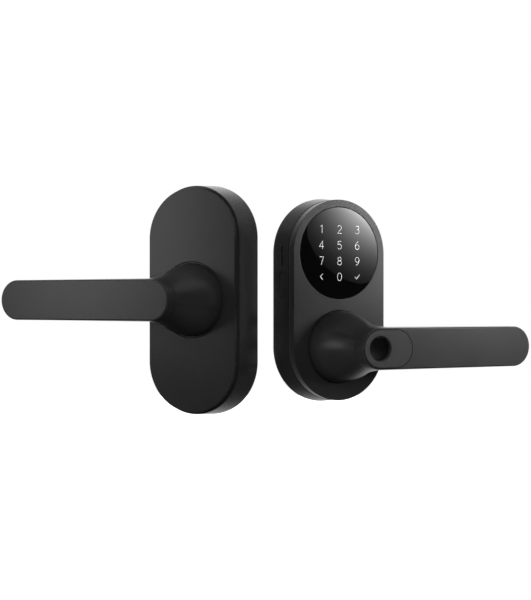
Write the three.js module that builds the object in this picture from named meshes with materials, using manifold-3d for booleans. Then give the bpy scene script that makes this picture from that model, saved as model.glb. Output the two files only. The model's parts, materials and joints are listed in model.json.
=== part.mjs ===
// A keypad smart lock with lever handles, as its two separate halves standing side by side:
// the exterior half with its touch keypad and fingerprint lever, and the interior half with its
// battery housing and plain lever, turned sixty degrees away from it like the page of an open book.
//
// Units are millimetres and +Z is up. The origin is the middle of the exterior half's door face,
// on its gasket. In each half's own frame +X runs to the right as seen by someone facing it, and
// depth w is counted outwards along -Y from the front of its gasket.

import * as THREE from 'three';
import { mergeVertices } from 'three/addons/utils/BufferGeometryUtils.js';
import Module from 'manifold-3d';

// ---- Driving dimensions ----

const RUNNING = 0.1; // radial clearance of a shaft in its bearing
const GAP = 0.3; // clearance between pieces that rest on each other
const WALL = 2.4; // thickness of the cast housings
const GASKET = 2.2; // thickness of the rubber gasket between each half and the door

// Exterior half.
const EXT_REACH = 35; // from the middle of the half to the centre of each round end
const EXT_RADIUS = 40; // round ends of the front cover
const EXT_BACK_RADIUS = 41.85; // the housing flares out to this at the door
const EXT_SEAM = 17; // depth of the joint between housing and front cover
const EXT_DEPTH = 25; // depth of the front cover's face
const DISC_RADIUS = 34.35; // touch glass
const EXT_HUB_Z = -EXT_REACH; // lever axis, on the lower round end's centre
const DISC_Z = EXT_REACH; // keypad centre, on the upper round end's centre

// Interior half.
const INT_REACH = 46.1;
const INT_RADIUS = 39.4; // front rim of the housing
const INT_BACK_RADIUS = 40.7;
const INT_RIM = 22.3; // depth of the housing's front rim
const INT_DEPTH = 27; // depth of the face plate
const PLATE_RADIUS = 37.8; // face plate
const COLLAR_RADIUS = 28.35; // trim ring round the interior hub

// Levers, both halves alike.
const HUB_RADIUS = 27; // foot of the neck
const BLADE_RADIUS = 15; // half the height of the blade
const BLADE_FACE_RADIUS = 14.3; // the same at the blade's flat face, inside its rounded edge
const BLADE_REACH = 122.4; // from the lever axis to the centre of the round tip
const NECK_LENGTH = 44; // from the escutcheon to the back of the blade
const LEVER_LENGTH = 54; // from the escutcheon to the blade's face
const NECK_REACH = 24.4; // how far the neck's flare runs out under the blade

// Fingerprint inlay in the exterior lever.
const INLAY_RADIUS = 13.5;
const INLAY_REACH = 14.2;
const SENSOR_RADIUS = 8.15;

// Through-door hardware.
const SPINDLE = 8; // square spindle across its flats
const SPINDLE_TAIL = -50; // how far the spindle runs back through the door
const POST_OFFSET = 19; // bolt posts above and below the lever axis
const SLEEVE_RADIUS = 10; // drive sleeves that the levers are fixed on
const POST_STUD_RADIUS = 2.6; // threaded end of each mounting post
const BOLT_RADIUS = 2.5; // through bolts
const BOLT_WAY = 2.9; // holes in the mounting plates for posts and bolts
const CLUTCH_X = 22; // clutch motor, to the right of the lever axis

// Where the interior half stands.
const INTERIOR_PLACE = [-73.28, 40.11, 0];
const INTERIOR_TURN = -Math.PI / 3;

// Smoothness.
const PILL_POINTS = 40; // points round a pill outline
const FINE = 48; // segments round the glass and the hub openings
const ROUND = 32; // segments round a large turned piece
const MEDIUM = 24; // segments round a middling one
const SMALL = 12; // segments round a small one

// ---- Making solids ----

const wasm = await Module();
wasm.setup();

// Merges a geometry's vertices, drops collapsed triangles and turns the faces outwards.
function tidy(geometry) {
  geometry.deleteAttribute('normal');
  geometry.deleteAttribute('uv');
  const merged = mergeVertices(geometry, 1e-4);
  const old = merged.index.array;
  const at = merged.attributes.position;
  const corners = [0, 1, 2].map(() => new THREE.Vector3());
  const kept = [];
  let volume = 0;
  for (let i = 0; i < old.length; i += 3) {
    const [a, b, c] = [old[i], old[i + 1], old[i + 2]];
    if (a === b || b === c || c === a) continue;
    kept.push([a, b, c]);
    [a, b, c].forEach((index, k) => corners[k].fromBufferAttribute(at, index));
    volume += corners[0].dot(corners[1].cross(corners[2]));
  }
  merged.setIndex(kept.flatMap((t) => (volume < 0 ? [t[0], t[2], t[1]] : t)));
  return merged;
}

function toSolid(geometry) {
  const { attributes, index } = tidy(geometry.clone());
  return new wasm.Manifold(new wasm.Mesh({
    numProp: 3,
    vertProperties: Float32Array.from(attributes.position.array),
    triVerts: Uint32Array.from(index.array),
  }));
}

function toGeometry(solid) {
  const mesh = solid.getMesh();
  const geometry = new THREE.BufferGeometry();
  geometry.setAttribute('position', new THREE.BufferAttribute(mesh.vertProperties, 3));
  geometry.setIndex(new THREE.BufferAttribute(mesh.triVerts, 1));
  return geometry;
}

// Cuts every tool away from a geometry.
function cut(geometry, ...tools) {
  return toGeometry(tools.reduce((solid, tool) => solid.subtract(toSolid(tool)), toSolid(geometry)));
}

// Joins geometries that touch or overlap into one solid.
function join(geometry, ...others) {
  return toGeometry(others.reduce((solid, other) => solid.add(toSolid(other)), toSolid(geometry)));
}

// An outline in x and z, made solid between two depths.
function slab(shape, wBack, wFront, curveSegments = SMALL) {
  const depth = wFront - wBack;
  const geometry = new THREE.ExtrudeGeometry(shape, { depth, bevelEnabled: false, curveSegments });
  return geometry.translate(0, 0, wBack).rotateX(Math.PI / 2);
}

// A profile of [radius, depth] points turned round the depth axis.
function turned(profile, segments = ROUND) {
  const points = profile.map(([radius, w]) => new THREE.Vector2(radius, w));
  return new THREE.LatheGeometry(points, segments).rotateX(Math.PI);
}

// A round disc or rod along the depth axis.
function rod(radius, wBack, wFront, segments = SMALL) {
  return turned([[0, wBack], [radius, wBack], [radius, wFront], [0, wFront]], segments);
}

// A block from its lowest to its highest corner in x, depth and z.
function block([x0, w0, z0], [x1, w1, z1]) {
  const geometry = new THREE.BoxGeometry(x1 - x0, w1 - w0, z1 - z0);
  return geometry.translate((x0 + x1) / 2, -(w0 + w1) / 2, (z0 + z1) / 2);
}

// A solid through a stack of rings that all have the same number of [x, w, z] points.
function loft(rings) {
  const count = rings[0].length;
  const positions = rings.flat().flatMap(([x, w, z]) => [x, -w, z]);
  const faces = [];
  for (let ring = 0; ring < rings.length - 1; ring += 1) {
    for (let k = 0; k < count; k += 1) {
      const a = ring * count + k;
      const b = ring * count + ((k + 1) % count);
      faces.push(a, b, b + count, a, b + count, a + count);
    }
  }
  const last = (rings.length - 1) * count;
  for (let k = 1; k < count - 1; k += 1) {
    faces.push(0, k + 1, k, last, last + k, last + k + 1);
  }
  const geometry = new THREE.BufferGeometry();
  geometry.setAttribute('position', new THREE.Float32BufferAttribute(positions, 3));
  geometry.setIndex(faces);
  return geometry;
}

// The points of an upright pill at one depth.
function pillRing(radius, reach, w) {
  return Array.from({ length: PILL_POINTS }, (_, k) => {
    const turn = ((k + 0.5) / PILL_POINTS) * 2 * Math.PI;
    const end = Math.sin(turn) > 0 ? reach : -reach;
    return [radius * Math.cos(turn), w, end + radius * Math.sin(turn)];
  });
}

// An upright pill whose radius changes with depth, from [depth, radius] pairs.
function pill(reach, steps) {
  return loft(steps.map(([w, radius]) => pillRing(radius, reach, w)));
}

function rectangle(x0, z0, x1, z1) {
  return new THREE.Shape().moveTo(x0, z0).lineTo(x1, z0).lineTo(x1, z1).lineTo(x0, z1);
}

// A lying pill from the axis to a centre at x = reach.
function lyingPill(radius, reach) {
  const shape = new THREE.Shape().absarc(0, 0, radius, Math.PI / 2, 1.5 * Math.PI);
  return shape.absarc(reach, 0, radius, -Math.PI / 2, Math.PI / 2);
}

// An upright pill in outline.
function uprightPill(radius, reach, x = 0, z = 0) {
  const shape = new THREE.Shape().absarc(x, z + reach, radius, 0, Math.PI);
  return shape.absarc(x, z - reach, radius, Math.PI, 2 * Math.PI);
}

// ---- Materials ----

function material(color, roughness, metalness) {
  return new THREE.MeshStandardMaterial({ color, roughness, metalness });
}

const MATERIALS = {
  blackMetal: () => material(0x1c1c1d, 0.42, 0.6),
  steel: () => material(0x9a9c9f, 0.35, 1),
  brass: () => material(0xb08d4a, 0.4, 1),
  rubber: () => material(0x121212, 0.8, 0),
  plastic: () => material(0x1a1a1b, 0.55, 0),
  glass: () => material(0x050506, 0.06, 0),
  circuit: () => material(0x1f5a35, 0.5, 0.1),
  diffuser: () => material(0xe8e8e4, 0.6, 0),
  sensor: () => material(0x08080a, 0.15, 0.1),
  battery: () => material(0x3a3d42, 0.4, 0.5),
};

// Adds one named piece to a group.
function piece(group, name, finish, geometry, [x, w, z] = [0, 0, 0]) {
  const mesh = new THREE.Mesh(geometry, MATERIALS[finish]());
  mesh.name = name;
  mesh.position.set(x, -w, z);
  group.add(mesh);
  return mesh;
}

// ---- Levers ----

// Radius of the neck at a height above the escutcheon: an S-curve from the foot to the blade.
function neckRadius(height) {
  const t = Math.min(Math.max(height / LEVER_LENGTH, 0), 1);
  const rise = t ** 1.4;
  const blend = rise / (rise + (1 - t) ** 1.86);
  return BLADE_RADIUS + (HUB_RADIUS - BLADE_RADIUS) * (1 - blend);
}

// One section of the lever: the hull of a circle on the axis and a circle further out.
function leverRing(height, nearRadius, farRadius, reach) {
  const count = 36;
  return Array.from({ length: count }, (_, k) => {
    const turn = ((k + 0.5) / count) * 2 * Math.PI;
    const far = reach * Math.cos(turn) + farRadius > nearRadius;
    const radius = far ? farRadius : nearRadius;
    return [(far ? reach : 0) + radius * Math.cos(turn), height, radius * Math.sin(turn)];
  });
}

// The lever's outer form. Depth is counted from the escutcheon face, and the blade runs along +X.
function leverForm() {
  const foot = -0.8;
  const neckTop = NECK_LENGTH - 0.4;
  const neckSteps = 9;
  const rings = [leverRing(foot, HUB_RADIUS, HUB_RADIUS, 0)];
  for (let step = 0; step <= neckSteps; step += 1) {
    const height = (step / neckSteps) * neckTop;
    const radius = neckRadius(height);
    const reach = NECK_REACH * (height / NECK_LENGTH) ** 1.45;
    rings.push(leverRing(height, radius, Math.min(radius, BLADE_RADIUS), reach));
  }
  const edge = BLADE_RADIUS - BLADE_FACE_RADIUS;
  const backRadius = neckRadius(NECK_LENGTH);
  rings.push(leverRing(NECK_LENGTH, backRadius, BLADE_RADIUS - 1, BLADE_REACH));
  rings.push(leverRing(NECK_LENGTH + 1.2, backRadius, BLADE_RADIUS, BLADE_REACH));
  rings.push(leverRing(LEVER_LENGTH - edge, BLADE_RADIUS, BLADE_RADIUS, BLADE_REACH));
  rings.push(leverRing(LEVER_LENGTH, BLADE_FACE_RADIUS, BLADE_FACE_RADIUS, BLADE_REACH));
  return loft(rings);
}

const SOCKET_DEPTH = 7; // how far the drive sleeve enters the lever
const SET_SCREW_HEIGHT = 3.2; // set screw axis above the escutcheon

// The sleeve socket and the set screw hole under the hub.
function leverCuts() {
  const socket = rod(SLEEVE_RADIUS + GAP, -2, SOCKET_DEPTH, ROUND);
  const screwHole = new THREE.CylinderGeometry(2.4, 2.4, 30, SMALL);
  screwHole.rotateX(Math.PI / 2).translate(0, -SET_SCREW_HEIGHT, -15);
  return [socket, screwHole];
}

// A headless screw that runs up into the hub from below.
function setScrew() {
  const screw = new THREE.CylinderGeometry(2, 2, 12, SMALL).rotateX(Math.PI / 2);
  const key = new THREE.CylinderGeometry(1.1, 1.1, 5, 6).rotateX(Math.PI / 2).translate(0, 0, -6);
  return cut(screw, key).translate(0, 0, -16.5);
}

// A steel sleeve with a groove for its circlip and a square way through for the spindle.
function driveSleeve(wBack, wFront, wGroove, way) {
  const profile = [
    [0, wBack], [SLEEVE_RADIUS, wBack], [SLEEVE_RADIUS, wGroove],
    [SLEEVE_RADIUS - 1.4, wGroove], [SLEEVE_RADIUS - 1.4, wGroove + 1.4],
    [SLEEVE_RADIUS, wGroove + 1.4], [SLEEVE_RADIUS, wFront], [0, wFront],
  ];
  const half = way / 2;
  return cut(turned(profile, MEDIUM), block([-half, wBack - 1, -half], [half, wFront + 1, half]));
}

// A bush with a flange, round the drive sleeve.
function bush(wBack, wFront, wFlange) {
  const inner = SLEEVE_RADIUS + RUNNING;
  return turned([
    [inner, wBack], [14, wBack], [14, wFlange], [17.5, wFlange], [17.5, wFlange + 1.6],
    [14, wFlange + 1.6], [14, wFront], [inner, wFront], [inner, wBack],
  ], MEDIUM);
}

// An open ring that snaps into the sleeve's groove.
function circlip(w) {
  const inner = SLEEVE_RADIUS - 1.1;
  const outer = SLEEVE_RADIUS + 2.4;
  const opening = 0.35;
  const shape = new THREE.Shape().absarc(0, 0, outer, opening, 2 * Math.PI - opening);
  shape.absarc(0, 0, inner, 2 * Math.PI - opening, opening, true);
  return slab(shape, w, w + 0.8, 10);
}

// The axis of a coil spring wound round the depth axis.
class Coil extends THREE.Curve {
  constructor(radius, turns, wBack, wFront) {
    super();
    Object.assign(this, { radius, turns, wBack, wFront });
  }

  getPoint(t) {
    const turn = t * this.turns * 2 * Math.PI;
    const w = this.wBack + t * (this.wFront - this.wBack);
    return new THREE.Vector3(this.radius * Math.cos(turn), -w, this.radius * Math.sin(turn));
  }
}

function returnSpring(radius, turns, wBack, wFront) {
  const wire = new THREE.Shape().absarc(0, 0, 0.7, 0, 2 * Math.PI);
  const extrudePath = new Coil(radius, turns, wBack, wFront);
  const options = { extrudePath, steps: 10 * turns, curveSegments: 3, bevelEnabled: false };
  return tidy(new THREE.ExtrudeGeometry(wire, options));
}

// Small screws, their clearance holes and the bosses that they cut their thread in.
const SCREW_HEAD = { radius: 2.6, height: 1.2 };
const SCREW_SHANK = 1.25;
const SCREW_HOLE = 1.6;
const HEAD_HOLE = 3.2;

// A screw along the depth axis: the shank runs from under its head, at wHead, to its tip.
function screw(wHead, tip) {
  const { radius, height } = SCREW_HEAD;
  return turned([
    [0, wHead - height], [radius, wHead - height], [radius, wHead], [SCREW_SHANK, wHead],
    [SCREW_SHANK, tip], [0, tip],
  ], SMALL);
}

// A boss between two depths, with a blind screw hole from behind.
function screwBoss(radius, wBack, wFront, wHoleEnd) {
  return cut(rod(radius, wBack, wFront), rod(SCREW_HOLE, wBack - 1, wHoleEnd));
}

// ---- Exterior half ----

const exterior = new THREE.Group();
exterior.position.set(0, -GASKET, 0);
const GASKET_LIP = 1.6; // depth of the gasket's middle, inside the housing
const PLATE_BACK = GASKET_LIP + GAP;
const PLATE_FRONT = PLATE_BACK + 2;
const GASKET_BORE = POST_OFFSET + 5.5; // opening in both gaskets round the posts and bolts
const EXT_PLATE_RADIUS = 37.4;
const HOUSING_FLOOR = 14.5; // inner face of the housing's front wall
const HUB_BORE = HUB_RADIUS + 0.4; // opening in the front cover round the lever's foot
const BUSH_BORE = 14 + GAP;
const PLATE_SCREW_Z = [58, -66]; // screws from the mounting plate into the housing
const COVER_SCREW_X = [-31, 31]; // screws from the housing into the front cover
const COVER_SCREW_Z = -3;
const PORT_Z = 10.8; // charging port, on the left side
const PORT_W = 9.4;
const PORT_RADIUS = 3.7;
const PORT_REACH = 6.15; // from its middle to the centre of each round end
const SLIT_Z = 32.5; // speaker slit, above the port
const SLIT_RADIUS = 0.9;
const SLIT_REACH = 6.6;

// A rubber gasket whose rim is flush with the housing's back edge.
function exteriorGasket() {
  const rim = EXT_BACK_RADIUS - 0.25;
  const middle = EXT_RADIUS - 1.4;
  const sheet = pill(EXT_REACH, [[-GASKET, rim], [GAP, rim], [GAP, middle], [GASKET_LIP, middle]]);
  const bore = rod(GASKET_BORE, -GASKET - 1, GASKET_LIP + 1, ROUND).translate(0, 0, EXT_HUB_Z);
  const headWays = PLATE_SCREW_Z.map((z) => (
    rod(HEAD_HOLE, -GASKET - 1, GASKET_LIP + 1).translate(0, 0, z)
  ));
  return cut(sheet, bore, ...headWays);
}
piece(exterior, 'exterior_gasket', 'rubber', exteriorGasket());

function exteriorMountingPlate() {
  const plate = pill(EXT_REACH, [[PLATE_BACK, EXT_PLATE_RADIUS], [PLATE_FRONT, EXT_PLATE_RADIUS]]);
  const drill = (radius, z, segments) => (
    rod(radius, PLATE_BACK - 1, PLATE_FRONT + 1, segments).translate(0, 0, z)
  );
  const clutchHole = drill(SLEEVE_RADIUS + 1.5, EXT_HUB_Z, MEDIUM);
  const postHoles = [-1, 1].map((side) => drill(BOLT_WAY, EXT_HUB_Z + side * POST_OFFSET));
  const screwHoles = PLATE_SCREW_Z.map((z) => drill(SCREW_HOLE, z));
  return cut(plate, clutchHole, ...postHoles, ...screwHoles);
}
piece(exterior, 'exterior_mounting_plate', 'steel', exteriorMountingPlate());

// A hexagonal post with a threaded end that passes through the mounting plate.
function mountingPost() {
  const radius = 4;
  const end = -12;
  const shoulder = PLATE_BACK - GAP;
  const studEnd = PLATE_FRONT + 0.8;
  return turned([
    [0, end], [radius, end], [radius, shoulder], [POST_STUD_RADIUS, shoulder],
    [POST_STUD_RADIUS, studEnd], [0, studEnd],
  ], 6);
}
piece(exterior, 'upper_mounting_post', 'steel', mountingPost(), [0, 0, EXT_HUB_Z + POST_OFFSET]);
piece(exterior, 'lower_mounting_post', 'steel', mountingPost(), [0, 0, EXT_HUB_Z - POST_OFFSET]);

// Turns a solid made along the depth axis so that it runs out of the left side.
function throughLeftSide(geometry, w, z) {
  return geometry.rotateZ(-Math.PI / 2).translate(0, -w, z);
}

function exteriorHousing() {
  const outside = pill(EXT_REACH, [
    [0.6, EXT_BACK_RADIUS], [EXT_SEAM / 2, (EXT_BACK_RADIUS + EXT_RADIUS) / 2],
    [EXT_SEAM - 0.1, EXT_RADIUS],
  ]);
  const inside = pill(EXT_REACH, [
    [-1, EXT_RADIUS - 1], [PLATE_FRONT, EXT_RADIUS - 1.4], [HOUSING_FLOOR, EXT_RADIUS - WALL],
  ]);
  const bushHole = rod(BUSH_BORE, 5, 20, ROUND).translate(0, 0, EXT_HUB_Z);
  const cableWindow = block([-9, 5, -3], [9, 20, 2]);
  const coverScrewHoles = COVER_SCREW_X.map((x) => (
    rod(SCREW_HOLE, 5, 20).translate(x, 0, COVER_SCREW_Z)
  ));
  const slit = slab(uprightPill(SLIT_RADIUS, SLIT_REACH), 30, 45, 3);
  const port = slab(uprightPill(PORT_RADIUS, PORT_REACH), 30, 45, 6);
  const shell = cut(
    outside, inside, bushHole, cableWindow, ...coverScrewHoles,
    throughLeftSide(slit, PORT_W, SLIT_Z), throughLeftSide(port, PORT_W, PORT_Z),
  );
  const bosses = PLATE_SCREW_Z.map((z) => (
    screwBoss(3.4, PLATE_FRONT + GAP, HOUSING_FLOOR + 0.5, HOUSING_FLOOR - 2).translate(0, 0, z)
  ));
  return join(shell, ...bosses);
}
piece(exterior, 'exterior_housing', 'blackMetal', exteriorHousing());

PLATE_SCREW_Z.forEach((z, index) => {
  const geometry = screw(PLATE_BACK - GAP, HOUSING_FLOOR - 3);
  piece(exterior, `mounting_plate_screw_${index + 1}`, 'steel', geometry, [0, 0, z]);
});

const COVER_CAVITY = 21.5; // inner face of the front cover's front wall
const GLASS_SEAT = 22.5;
const LIGHT_RADIUS = 32.2; // light guide behind the touch glass

function frontCover() {
  const coverBack = EXT_SEAM + 0.4;
  const outside = pill(EXT_REACH, [
    [coverBack, EXT_RADIUS - 0.25], [EXT_DEPTH - 0.3, EXT_RADIUS - 0.1],
    [EXT_DEPTH, EXT_RADIUS - 0.4],
  ]);
  const inside = pill(EXT_REACH, [
    [EXT_SEAM - 1, EXT_RADIUS - WALL - 0.2], [COVER_CAVITY, EXT_RADIUS - WALL - 0.2],
  ]);
  const lightWindow = rod(LIGHT_RADIUS + 0.4, 18, 30, ROUND).translate(0, 0, DISC_Z);
  const glassPocket = rod(DISC_RADIUS + GAP, GLASS_SEAT, 30, FINE).translate(0, 0, DISC_Z);
  const hubHole = rod(HUB_BORE, 18, 30, FINE).translate(0, 0, EXT_HUB_Z);
  const bosses = COVER_SCREW_X.map((x) => (
    screwBoss(3, coverBack, COVER_CAVITY + 0.5, COVER_CAVITY - 0.4).translate(x, 0, COVER_SCREW_Z)
  ));
  return join(cut(outside, inside, lightWindow, glassPocket, hubHole), ...bosses);
}
piece(exterior, 'front_cover', 'blackMetal', frontCover());

COVER_SCREW_X.forEach((x, index) => {
  const geometry = screw(HOUSING_FLOOR - GAP, COVER_CAVITY - 1);
  piece(exterior, `front_cover_screw_${index + 1}`, 'steel', geometry, [x, 0, COVER_SCREW_Z]);
});

const glassProfile = [
  [0, GLASS_SEAT + GAP], [DISC_RADIUS, GLASS_SEAT + GAP], [DISC_RADIUS, EXT_DEPTH - 0.3],
  [DISC_RADIUS - 0.3, EXT_DEPTH], [0, EXT_DEPTH],
];
piece(exterior, 'touch_glass', 'glass', turned(glassProfile, FINE), [0, 0, DISC_Z]);
const lightGuide = rod(LIGHT_RADIUS, 20.8, 22.4, ROUND);
piece(exterior, 'keypad_light_guide', 'diffuser', lightGuide, [0, 0, DISC_Z]);

// A touch board with its connector behind.
function touchBoard() {
  return join(rod(31.5, 18.6, 20.2, ROUND), block([-7, 17.4, -26], [7, 19, -20]));
}
piece(exterior, 'touch_circuit_board', 'circuit', touchBoard(), [0, 0, DISC_Z]);

// The main board, with its processor, radio and connector standing on its front.
function mainBoard() {
  const top = EXT_REACH + 17;
  const shape = new THREE.Shape().moveTo(-35, -4).lineTo(35, -4).lineTo(35, 44).lineTo(24, top);
  shape.lineTo(-24, top).lineTo(-35, 44);
  const back = 5;
  const board = slab(shape, back, back + 1.6);
  const chips = [
    block([-8, back + 1, 18], [8, back + 3.2, 34]),
    block([14, back + 1, 20], [28, back + 3.6, 40]),
    block([-8, back + 1, -1], [8, back + 5, 4]),
  ];
  return join(board, ...chips);
}
piece(exterior, 'main_circuit_board', 'circuit', mainBoard());
piece(exterior, 'exterior_cable_socket', 'plastic', block([-22, 7, -2], [-12, 12, 5]));
piece(exterior, 'speaker', 'plastic', block([-36.9, 7, 24], [-32.5, 13, 41]));

// The charging socket: a metal shell open to the left, with a tongue inside.
function usbPort() {
  const shell = block([-37.6, 7.8, PORT_Z - 4.5], [-30.4, 11, PORT_Z + 4.5]);
  const mouth = block([-39, 8.15, PORT_Z - 4.1], [-31.4, 10.65, PORT_Z + 4.1]);
  const tongue = block([-36.8, 9.05, PORT_Z - 3.3], [-31, 9.75, PORT_Z + 3.3]);
  return join(cut(shell, mouth), tongue);
}
piece(exterior, 'usb_port', 'steel', usbPort());

// The rubber cover that fills the port recess, in line with the flared side of the housing.
const SIDE_SLOPE = Math.atan((EXT_BACK_RADIUS - EXT_RADIUS) / (EXT_SEAM - 0.7));
const SIDE_AT_PORT = 40.8; // distance of the housing's side from its middle at the port's depth
function portCover() {
  const flap = slab(uprightPill(PORT_RADIUS - GAP, PORT_REACH), -1.6, 0, 6);
  return throughLeftSide(flap, 0, 0).rotateZ(SIDE_SLOPE);
}
piece(exterior, 'port_cover', 'rubber', portCover(), [-SIDE_AT_PORT, PORT_W, PORT_Z]);

// ---- Exterior lever and clutch ----

const exteriorHub = new THREE.Group();
exteriorHub.position.set(0, 0, EXT_HUB_Z);
exterior.add(exteriorHub);

const EXT_SLEEVE_BACK = 11.4;
const EXT_SLEEVE_WAY = 11.4; // the spindle turns freely in it until the clutch is in
const extSleeveFront = EXT_DEPTH + SOCKET_DEPTH - GAP;
const extGroove = EXT_SLEEVE_BACK + 0.5;
const extSleeve = driveSleeve(EXT_SLEEVE_BACK, extSleeveFront, extGroove, EXT_SLEEVE_WAY);
piece(exteriorHub, 'exterior_bearing_bush', 'brass', bush(13.6, 20, EXT_SEAM + 0.2));
piece(exteriorHub, 'exterior_drive_sleeve', 'steel', extSleeve);
piece(exteriorHub, 'exterior_circlip', 'steel', circlip(extGroove + GAP));
piece(exteriorHub, 'exterior_return_spring', 'steel', returnSpring(15.5, 2, 20.3, 22.9));

const INLAY_THICKNESS = 3.1;
const SENSOR_BOARD_RADIUS = 8.6;
const SENSOR_POCKET_DEPTH = 8;
function exteriorLever() {
  const front = LEVER_LENGTH + 1;
  const pocketFloor = LEVER_LENGTH - INLAY_THICKNESS - GAP;
  const pocket = slab(lyingPill(INLAY_RADIUS + GAP, INLAY_REACH), pocketFloor, front);
  const sensorPocketFloor = LEVER_LENGTH - SENSOR_POCKET_DEPTH;
  const sensorPocket = rod(SENSOR_BOARD_RADIUS + 0.8, sensorPocketFloor, front, MEDIUM);
  const wireWay = rod(3, 2, sensorPocketFloor + 2, 10);
  return cut(leverForm(), ...leverCuts(), pocket, sensorPocket, wireWay);
}
piece(exteriorHub, 'exterior_lever', 'blackMetal', exteriorLever(), [0, EXT_DEPTH, 0]);
piece(exteriorHub, 'exterior_set_screw', 'steel', setScrew(), [0, EXT_DEPTH + SET_SCREW_HEIGHT, 0]);

// The inlay round the sensor, with a hole that widens towards the face.
const BLADE_FACE = EXT_DEPTH + LEVER_LENGTH;
function fingerprintBezel() {
  const back = BLADE_FACE - INLAY_THICKNESS;
  const plate = slab(lyingPill(INLAY_RADIUS, INLAY_REACH), back, BLADE_FACE);
  const narrow = SENSOR_RADIUS + 0.35;
  const wide = SENSOR_RADIUS + 0.8;
  const dish = turned([
    [0, back - 1], [narrow, back - 1], [narrow, back], [wide, BLADE_FACE],
    [wide, BLADE_FACE + 1], [0, BLADE_FACE + 1],
  ]);
  return cut(plate, dish);
}
piece(exteriorHub, 'fingerprint_bezel', 'blackMetal', fingerprintBezel());
const sensorFace = BLADE_FACE - 2.6;
const sensor = rod(SENSOR_RADIUS, sensorFace - 2.4, sensorFace, ROUND);
const sensorBoard = rod(SENSOR_BOARD_RADIUS, sensorFace - 4.4, sensorFace - 2.8, MEDIUM);
piece(exteriorHub, 'fingerprint_sensor', 'sensor', sensor);
piece(exteriorHub, 'fingerprint_board', 'circuit', sensorBoard);

// The square spindle, with a chamfered tail that enters the interior half's sleeve.
function spindle() {
  const half = SPINDLE / 2;
  const front = EXT_DEPTH - 1;
  const bar = block([-half, SPINDLE_TAIL + 2, -half], [half, front, half]);
  const corner = half * Math.SQRT2;
  const tail = turned([[0, SPINDLE_TAIL], [corner * 0.72, SPINDLE_TAIL], [corner, SPINDLE_TAIL + 2],
    [0, SPINDLE_TAIL + 2]], 4).rotateY(Math.PI / 4);
  return join(bar, tail);
}
piece(exteriorHub, 'spindle', 'steel', spindle());

// The sliding collar that locks the spindle to the exterior sleeve.
const COLLAR_BACK = 4.4;
const GROOVE_RADIUS = 7.8;
function clutchCollar() {
  const grooveBack = COLLAR_BACK + 1.2;
  const grooveFront = COLLAR_BACK + 3;
  const front = COLLAR_BACK + 4.2;
  const profile = [
    [0, COLLAR_BACK], [SLEEVE_RADIUS, COLLAR_BACK], [SLEEVE_RADIUS, grooveBack],
    [GROOVE_RADIUS, grooveBack], [GROOVE_RADIUS, grooveFront], [SLEEVE_RADIUS, grooveFront],
    [SLEEVE_RADIUS, front], [0, front],
  ];
  const half = SPINDLE / 2 + 0.25;
  return cut(turned(profile, MEDIUM), block([-half, 0, -half], [half, 20, half]));
}
piece(exteriorHub, 'clutch_collar', 'steel', clutchCollar());

// A flat fork: its two arms lie in the collar's groove and its eye is on the threaded shaft.
const FORK_BACK = COLLAR_BACK + 1.55;
const THREAD_RADIUS = 1.6;
function clutchFork() {
  const mouth = GROOVE_RADIUS + 0.4;
  const outer = mouth + 3;
  const tips = -3;
  const taper = 12;
  const end = CLUTCH_X + 4;
  const shape = new THREE.Shape().moveTo(tips, outer).lineTo(tips, mouth).lineTo(0, mouth);
  shape.absarc(0, 0, mouth, Math.PI / 2, -Math.PI / 2, true);
  shape.lineTo(tips, -mouth).lineTo(tips, -outer).lineTo(taper, -outer).lineTo(end, -4);
  shape.lineTo(end, 4).lineTo(taper, outer);
  const eye = THREAD_RADIUS + 0.35;
  shape.holes.push(new THREE.Path().absarc(CLUTCH_X, 0, eye, 0, 2 * Math.PI));
  return slab(shape, FORK_BACK, FORK_BACK + 1.1, 10);
}
piece(exteriorHub, 'clutch_fork', 'steel', clutchFork());

// The flat motor that moves the fork, and its threaded shaft.
const MOTOR_BACK = 10.4;
const clutchMotor = rod(7, MOTOR_BACK, HOUSING_FLOOR - GAP, MEDIUM);
piece(exteriorHub, 'clutch_motor', 'steel', clutchMotor, [CLUTCH_X, 0, 0]);
function clutchScrew() {
  const pitch = 1.25;
  const root = THREAD_RADIUS - 0.4;
  const start = PLATE_FRONT + GAP;
  const end = MOTOR_BACK - GAP;
  const profile = [[0, start], [root, start]];
  for (let w = start + 0.2; w + pitch < end; w += pitch) {
    profile.push([root, w], [THREAD_RADIUS, w + pitch * 0.4], [THREAD_RADIUS, w + pitch * 0.6]);
  }
  profile.push([root, end - 0.1], [root, end], [0, end]);
  return turned(profile, SMALL);
}
piece(exteriorHub, 'clutch_screw', 'brass', clutchScrew(), [CLUTCH_X, 0, 0]);

// ---- Interior half ----

const interior = new THREE.Group();
interior.position.set(...INTERIOR_PLACE);
interior.rotation.z = INTERIOR_TURN;

const INT_FLOOR = INT_RIM - WALL; // inner face of the housing's front wall
const INT_PLATE_FRONT = 2;
const HOLDER_Z = 46.2; // middle of each battery holder above or below the axis
const CELL_PITCH = 15.4;
const CELL_RADIUS = 7.1;
const CELL_LENGTH = 50;
const CELL_W = 12.4;
const CELL_ROOM = 0.35; // clearance round each cell
const HOLDER_X = CELL_LENGTH / 2 + 4.4; // half the width of a battery holder
const HOLDER_HALF = 16.4; // half its height
const INT_SCREW_Z = [79, -79];
const INT_PLATE_RADIUS = INT_RADIUS - 1.5;
const COUNTERBORE = 1.6; // depth of the seats that hold the screw heads below the door face

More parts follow.
